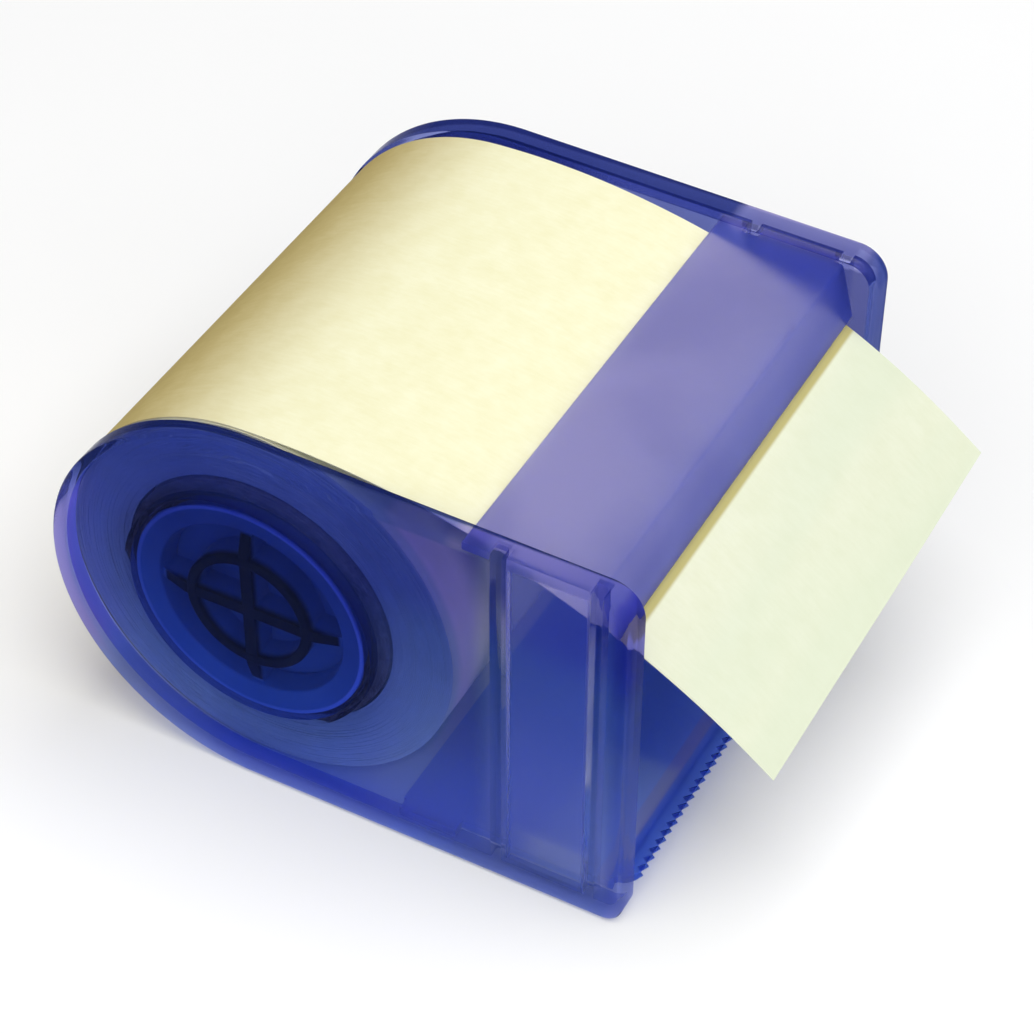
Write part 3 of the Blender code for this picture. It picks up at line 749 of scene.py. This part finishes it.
def paper(name, edges):
    """Uncoated note paper: cloudy formation, fibres, faint tooth. On the roll's ends the cut edges of the turns show as fine rings."""
    mat, nt, out, bsdf, at = nodes_of(name)
    split = nt.nodes.new("ShaderNodeSeparateXYZ")
    nt.links.new(at, split.inputs["Vector"])
    # painted shade: the drawn end takes a darker, greener copy of the paper's colour, and the rear of the roll a
    # darker, browner one
    drawn = ranged(nt, split.outputs["X"], 0.010, 0.030, 0, 1, True)
    behind = ranged(nt, split.outputs["X"], -0.034, -0.013, 1, 0, True)
    shaded = ((0.500, 0.375, 0.110), (0.550, 0.430, 0.150)) if not edges else ((0.790, 0.765, 0.530), (0.830, 0.815, 0.600))
    warm = blend_colour(nt, drawn, blend_colour(nt, behind, (0.810, 0.785, 0.515), shaded[0]), (0.670, 0.700, 0.530))
    pale = blend_colour(nt, drawn, blend_colour(nt, behind, (0.850, 0.835, 0.595), shaded[1]), (0.705, 0.733, 0.577))
    cloud = noise_tex(nt, at, 420.0, 4.0, 0.62)
    fibre = noise_tex(nt, at, 1500.0, 3.0, 0.65, (0.35, 1.6, 0.35))
    mixed = math_node(nt, "ADD", math_node(nt, "MULTIPLY", cloud, 0.6), math_node(nt, "MULTIPLY", fibre, 0.4))
    colour = blend_colour(nt, ranged(nt, mixed, 0.36, 0.64, 0, 1), warm, pale)
    height = math_node(nt, "ADD", math_node(nt, "MULTIPLY", noise_tex(nt, at, 2600.0, 3.0, 0.6), 0.6), math_node(nt, "MULTIPLY", fibre, 0.4))
    if not edges:
        # painted shade: soft bands across the drawn end from its curl, and a shadow band at the lip's edge
        curl_shade = ranged(nt, noise_tex(nt, at, 150.0, 1.0, 0.5, (1.0, 0.10, 1.0)), 0.35, 0.65, 0, 0.5, True)
        colour = blend_colour(nt, math_node(nt, "MULTIPLY", curl_shade, drawn), colour, (0.625, 0.690, 0.530))
        lip = (LIP_BOTTOM[0] + AXIS_X) * MM
        lip_shadow = math_node(nt, "MULTIPLY", ranged(nt, split.outputs["X"], lip - 0.0012, lip - 0.0004, 0, 1, True),
                           ranged(nt, split.outputs["X"], lip + 0.0003, lip + 0.0007, 1, 0, True))
        colour = blend_colour(nt, math_node(nt, "MULTIPLY", lip_shadow, 0.95), colour, (0.440, 0.390, 0.140))
    if edges:
        dx = math_node(nt, "SUBTRACT", split.outputs["X"], AXIS_X * MM)
        dz = math_node(nt, "SUBTRACT", split.outputs["Z"], AXIS_Z * MM)
        radius = math_node(nt, "SQRT", math_node(nt, "ADD", math_node(nt, "MULTIPLY", dx, dx), math_node(nt, "MULTIPLY", dz, dz)))
        turns = math_node(nt, "SINE", math_node(nt, "MULTIPLY", radius, 2 * math.pi / 0.00019))
        turns = ranged(nt, turns, -1, 1, 0, 1)
        end = ranged(nt, math_node(nt, "ABSOLUTE", split.outputs["Y"]), 0.02495, 0.02505, 0, 1)
        shade_by = math_node(nt, "MULTIPLY", math_node(nt, "MULTIPLY", turns, end), 0.45)
        colour = blend_colour(nt, shade_by, colour, (0.62, 0.54, 0.30))
        # the turns under the drawn end lie in the case's shade, away from its walls
        middle = ranged(nt, math_node(nt, "ABSOLUTE", split.outputs["Y"]), 0.0172, 0.0212, 0.85, 0, True)
        colour = blend_colour(nt, middle, colour, (0.130, 0.160, 0.200))
    nt.links.new(colour, bsdf.inputs["Base Color"])
    nt.links.new(ranged(nt, cloud, 0.3, 0.7, 0.72, 0.9), bsdf.inputs["Roughness"])
    bsdf.inputs["Specular IOR Level"].default_value = 0.25
    nt.links.new(bump(nt, height, 0.25, 0.00003), bsdf.inputs["Normal"])
    return mat


def board(name):
    """Grey-brown core board, wound in plies."""
    mat, nt, out, bsdf, at = nodes_of(name)
    fibre = noise_tex(nt, at, 900.0, 4.0, 0.65, (1.0, 0.3, 1.0))
    fleck = noise_tex(nt, at, 2600.0, 2.0, 0.5)
    tone = blend_colour(nt, ranged(nt, fibre, 0.32, 0.68, 0, 1), (0.20, 0.125, 0.065), (0.36, 0.245, 0.14))
    nt.links.new(blend_colour(nt, ranged(nt, fleck, 0.58, 0.70, 0, 0.6), tone, (0.10, 0.06, 0.03)), bsdf.inputs["Base Color"])
    bsdf.inputs["Roughness"].default_value = 0.92
    nt.links.new(bump(nt, fibre, 0.5, 0.0001), bsdf.inputs["Normal"])
    return mat


# the shells' tints: the tint low down is paler as painted light from below; ahead, painted light on the near shell and
# painted shade on the far shell
SHELL_UPPER = {"left": ((0.185, 0.236, 0.60), (0.222, 0.274, 0.65)), "right": ((0.148, 0.177, 0.457), (0.181, 0.211, 0.512))}
SHELL_LOWER_LIT = {"left": ((0.29, 0.395, 0.86), (0.345, 0.45, 0.89)), "right": ((0.33, 0.42, 0.84), (0.387, 0.48, 0.897))}
SHELL_AHEAD_LIGHT_SHADE = {"left": ((0.93, 0.86, 0.98), (0.97, 0.90, 1.00)), "right": ((0.13, 0.14, 0.36), (0.16, 0.17, 0.41))}
# tints, mostly painted light and shade, low and high or rear and ahead; catches: how strong the painted highlight along
# the flange's inner edge is
SHELL_DEEPER = {
    "left": {"beside": ((0.40, 0.50, 0.95), (0.39, 0.335, 0.87)), "heel": (0.44, 0.39, 0.86), "rim": ((0.20, 0.26, 0.68), (0.80, 0.76, 0.95)),
             "rim_from": (0.027, 0.033), "rim_end": (0.006, 0.008), "nose": ((0.46, 0.49, 0.89), (0.30, 0.27, 0.80)), "outer": ((0.46, 0.49, 0.89), (0.27, 0.25, 0.78)),
             "painted_edge_line": (0.01, 0.015, 0.06), "catches": 0.0, "rib": (0.94, 0.90, 0.98), "rib_top": (0.22, 0.22, 0.62)},
    "right": {"beside": None, "rim": ((0.0165, 0.0236, 0.137), (0.42, 0.38, 0.66)),
              "rim_from": (0.014, 0.020), "rim_end": (0.0085, 0.0100), "nose": ((0.165, 0.194, 0.476), (0.165, 0.194, 0.476)), "outer": ((0.04, 0.06, 0.256), (0.04, 0.06, 0.256)),
              "painted_edge_line": (0.80, 0.78, 0.96), "catches": 1.0, "rib": (0.13, 0.14, 0.40), "rib_top": (0.13, 0.14, 0.40)}}
# the frame's tints: the one low down stands in for light on the floor (painted light), the one ahead is darker, painted
# shade on the lip
FRAME_UPPER, FRAME_LOWER_LIT, FRAME_AHEAD_SHADE = ((0.61, 0.587, 0.81), (0.683, 0.651, 0.86)), ((0.36, 0.50, 0.93), (0.42, 0.56, 0.97)), ((0.455, 0.45, 0.73), (0.51, 0.504, 0.78))
BODY, BODY_DENSITY = (0.17, 0.27, 0.62), 150.0
FRAME_BODY, FRAME_DENSITY = (0.25, 0.30, 0.78), 100.0
for name, seed in (("left", 0.013), ("right", 0.047)):
    shells[name].data.materials.clear()
    shells[name].data.materials.append(clear_plastic(
        name + "_shell_blue", SHELL_UPPER[name], SHELL_LOWER_LIT[name], SHELL_AHEAD_LIGHT_SHADE[name], (0.008, 0.011), SHELL_DEEPER[name],
        (0.06, 0.12), 1.04, 0.05, BODY, BODY_DENSITY, seed))
    hubs[name].data.materials.clear()
    hubs[name].data.materials.append(hub_plastic(name + "_hub_blue"))
front.data.materials.clear()
front.data.materials.append(clear_plastic(
    "frame_blue", FRAME_UPPER, FRAME_LOWER_LIT, FRAME_AHEAD_SHADE, (0.0210, 0.0213), None,
    (0.60, 0.68), 1.16, 0.09, FRAME_BODY, FRAME_DENSITY, 0.081))
core.data.materials.append(board("core_board"))
roll.data.materials.append(paper("wound_note_paper", True))
sheet.data.materials.append(paper("drawn_note_paper", False))

# ---------------------------------------------------------------- which piece moves with which body
for name in ("left", "right"):
    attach(shells[name], name + "_shell")
    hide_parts(name + "_side_shell")
    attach(hubs[name], "roll")
    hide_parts(name + "_hub")
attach(front, "frame")
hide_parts("front_frame")
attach(core, "roll")
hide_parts("roll_core")
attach(roll, "roll")
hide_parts("paper_roll")
# straight ahead, so that the part of the turn under the roll stays where it is
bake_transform(sheet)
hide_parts("paper_strip")

# ---------------------------------------------------------------- floor, light, camera
mesh = bpy.data.meshes.new("studio_floor")
bm = bmesh.new()
bmesh.ops.create_grid(bm, x_segments=1, y_segments=1, size=3.0)
bm.to_mesh(mesh)
bm.free()
ground = link("studio_floor", mesh)
ground.location.z = -0.0001
mat, nt, out, bsdf, at = nodes_of("studio_floor")
nt.links.new(blend_colour(nt, noise_tex(nt, at, 30.0, 2.0), (0.92, 0.92, 0.92), (0.94, 0.94, 0.94)), bsdf.inputs["Base Color"])
bsdf.inputs["Roughness"].default_value = 0.9
mesh.materials.append(mat)
ground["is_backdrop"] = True

world = bpy.data.worlds.new("studio")
bpy.context.scene.world = world
world.use_nodes = True
nt = world.node_tree
nt.nodes.clear()
out = nt.nodes.new("ShaderNodeOutputWorld")
sky = nt.nodes.new("ShaderNodeBackground")
coord = nt.nodes.new("ShaderNodeTexCoord")
dot = nt.nodes.new("ShaderNodeVectorMath")
dot.operation = "DOT_PRODUCT"
dot.inputs[1].default_value = Vector((0.25, -0.94, 0.15)).normalized()
nt.links.new(coord.outputs["Generated"], dot.inputs[0])
nt.links.new(ranged(nt, dot.outputs["Value"], 0.05, 0.95, 0.05, 1.5, True), sky.inputs["Strength"])
sky.inputs["Color"].default_value = (1.0, 1.0, 1.0, 1.0)
nt.links.new(sky.outputs["Background"], out.inputs["Surface"])


def softbox(name, place, aim, size, power):
    data = bpy.data.lights.new(name, "AREA")
    data.shape, data.size, data.size_y, data.energy = "RECTANGLE", size[0], size[1], power
    obj = bpy.data.objects.new(name, data)
    bpy.context.scene.collection.objects.link(obj)
    obj.location = place
    obj.rotation_euler = (Vector(aim) - Vector(place)).to_track_quat("-Z", "Y").to_euler()
    return obj


softbox("key", (0.30, -0.04, 0.96), (0, 0, 0.02), (0.90, 0.90), 9.2)

camera = bpy.data.objects.new("camera", bpy.data.cameras.new("camera"))
bpy.context.scene.collection.objects.link(camera)
camera.data.lens, camera.data.sensor_width = 103.07, 36.0
camera.data.clip_start, camera.data.clip_end = 0.01, 20.0
az, el, tilt = math.radians(28.071), math.radians(43.238), math.radians(0.255)
backward = Vector((math.sin(az) * math.cos(el), -math.cos(az) * math.cos(el), math.sin(el)))
right = (-backward).cross(Vector((0, 0, 1))).normalized()
upward = right.cross(-backward)
r2 = right * math.cos(tilt) + upward * math.sin(tilt)
u2 = upward * math.cos(tilt) - right * math.sin(tilt)
turn = Matrix((r2, u2, backward)).transposed()
camera.matrix_world = Matrix.Translation((0.102144, -0.194531, 0.225904)) @ turn.to_4x4()
bpy.context.scene.camera = camera

scene = bpy.context.scene
scene.view_settings.view_transform = "Standard"
scene.view_settings.look = "None"
scene.cycles.max_bounces = 20
scene.cycles.transmission_bounces = 18
scene.cycles.diffuse_bounces = 5

low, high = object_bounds()
